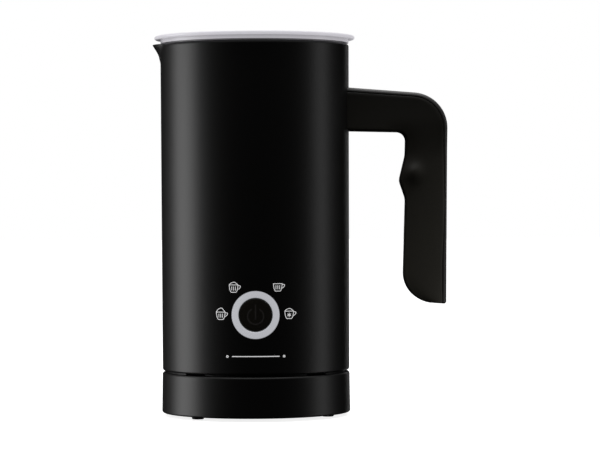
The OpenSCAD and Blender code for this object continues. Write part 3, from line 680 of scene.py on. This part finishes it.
def whisk_spring(turns=60, per_turn=16, sides=8):
    """A wire spring bent round into a ring, filling the CAD coil's height."""
    ring_r, wire_r = 19.0, 0.45
    coil_r = (coil_high.z - coil_low.z) / 2 - wire_r
    z0 = (coil_high.z + coil_low.z) / 2
    total = turns * per_turn

    def centre(k):
        a, b = 2 * math.pi * k / total, 2 * math.pi * k / per_turn
        r = ring_r + coil_r * math.cos(b)
        return Vector((r * math.cos(a), r * math.sin(a), z0 + coil_r * math.sin(b)))

    verts = []
    for k in range(total):
        along = (centre(k + 1) - centre(k - 1)).normalized()
        a = 2 * math.pi * k / total
        hub = Vector((ring_r * math.cos(a), ring_r * math.sin(a), z0))
        u = (centre(k) - hub).normalized()
        u = (u - along * u.dot(along)).normalized()
        v = along.cross(u)
        for s in range(sides):
            t = 2 * math.pi * s / sides
            verts.append(tuple(centre(k) + wire_r * (u * math.cos(t) + v * math.sin(t))))
    return verts, closed_grid(total, sides)


piece("whisk_spring", *whisk_spring(), finishes["bright_steel"], "whisk", ["whisk_coil"], "bright_steel", 60)

# ---------------------------------------------------------------- studio

floor_mesh = bpy.data.meshes.new("floor")
FLOOR = 6
floor_mesh.from_pydata([(x * FLOOR, y * FLOOR, 0) for x, y in ((-1, -1), (1, -1), (1, 1), (-1, 1))], [],
                       [(0, 1, 2, 3)])
floor = bpy.data.objects.new("floor", floor_mesh)
scene.collection.objects.link(floor)


def pale_floor():
    """Pale to the camera, lit by the lamps, open to every other ray, and clear when seen from below."""
    m = bpy.data.materials.new("pale_floor")
    tree = empty_tree(m)
    link = tree.links.new
    pale = add_node(tree, "BsdfDiffuse", {"Color": (0.8, 0.8, 0.8, 1)})
    lift = add_node(tree, "Emission", {"Color": (1, 1, 1, 1), "Strength": 0.85})
    lit = add_node(tree, "AddShader")
    link(pale.outputs[0], lit.inputs[0])
    link(lift.outputs[0], lit.inputs[1])
    shown = add_node(tree, "Math", operation="SUBTRACT", use_clamp=True)
    link(add_node(tree, "LightPath").outputs["Is Camera Ray"], shown.inputs[0])
    link(add_node(tree, "NewGeometry").outputs["Backfacing"], shown.inputs[1])
    mix = add_node(tree, "MixShader")
    link(shown.outputs[0], mix.inputs[0])
    link(add_node(tree, "BsdfTransparent").outputs[0], mix.inputs[1])
    link(lit.outputs[0], mix.inputs[2])
    link(mix.outputs[0], add_node(tree, "OutputMaterial").inputs["Surface"])
    return m


def set_world():
    """White behind the object; almost dark to every other ray, a little brighter overhead."""
    scene.world = bpy.data.worlds.new("studio")
    tree = empty_tree(scene.world)
    link = tree.links.new
    parts = add_node(tree, "SeparateXYZ")
    link(add_node(tree, "TexCoord").outputs["Generated"], parts.inputs[0])
    height = add_node(
        tree, "MapRange", {"From Min": 0.25, "From Max": 1.0, "To Min": 0.004, "To Max": 0.8},
        interpolation_type="SMOOTHSTEP")
    link(parts.outputs["Z"], height.inputs["Value"])
    room = add_node(tree, "Background", {"Color": (1, 1, 1, 1)})
    link(height.outputs["Result"], room.inputs["Strength"])
    white = add_node(tree, "Background", {"Color": (1, 1, 1, 1), "Strength": 1.0})
    mix = add_node(tree, "MixShader")
    link(add_node(tree, "LightPath").outputs["Is Camera Ray"], mix.inputs[0])
    link(room.outputs[0], mix.inputs[1])
    link(white.outputs[0], mix.inputs[2])
    link(mix.outputs[0], add_node(tree, "OutputWorld").inputs["Surface"])


floor_mesh.materials.append(pale_floor())
set_world()


def lamp(name, place, target, size, power):
    """A rectangular lamp at place facing target, size (width, height) in metres."""
    data = bpy.data.lights.new(name, "AREA")
    data.shape = "RECTANGLE"
    data.size, data.size_y = size
    data.energy = power
    obj = bpy.data.objects.new(name, data)
    scene.collection.objects.link(obj)
    obj.location = place
    obj.rotation_euler = (Vector(target) - Vector(place)).to_track_quat("-Z", "Y").to_euler()
    obj.visible_camera = False


lamp("left_strip", (-0.60, 0.025, 0.06), (0, 0, 0.06), (0.35, 0.52), 1.75)
lamp("right_strip", (0.72, -0.06, 0.0), (0, 0, 0.0), (0.20, 0.80), 0.66)
lamp("edge_strip", (0.36, 0.78, 0.10), (0, 0, 0.10), (0.10, 0.80), 0.19)
lamp("overhead", (0.0, 0.2, 1.1), (0, 0, 0.1), (1.1, 1.1), 6)

camera_data = bpy.data.cameras.new("camera")
camera_data.lens = 156  # millimetres, like the sensor
camera_data.sensor_width = 36
camera = bpy.data.objects.new("camera", camera_data)
scene.collection.objects.link(camera)
camera.location = (0.005, -1.383, 0.1146)
aim = Vector((0.0237, 0, 0.1008)) - camera.location
camera.rotation_mode = "QUATERNION"
camera.rotation_quaternion = aim.to_track_quat("-Z", "Y") @ Quaternion((0, 0, 1), math.radians(-0.28))
scene.camera = camera
scene.view_settings.view_transform = "Standard"
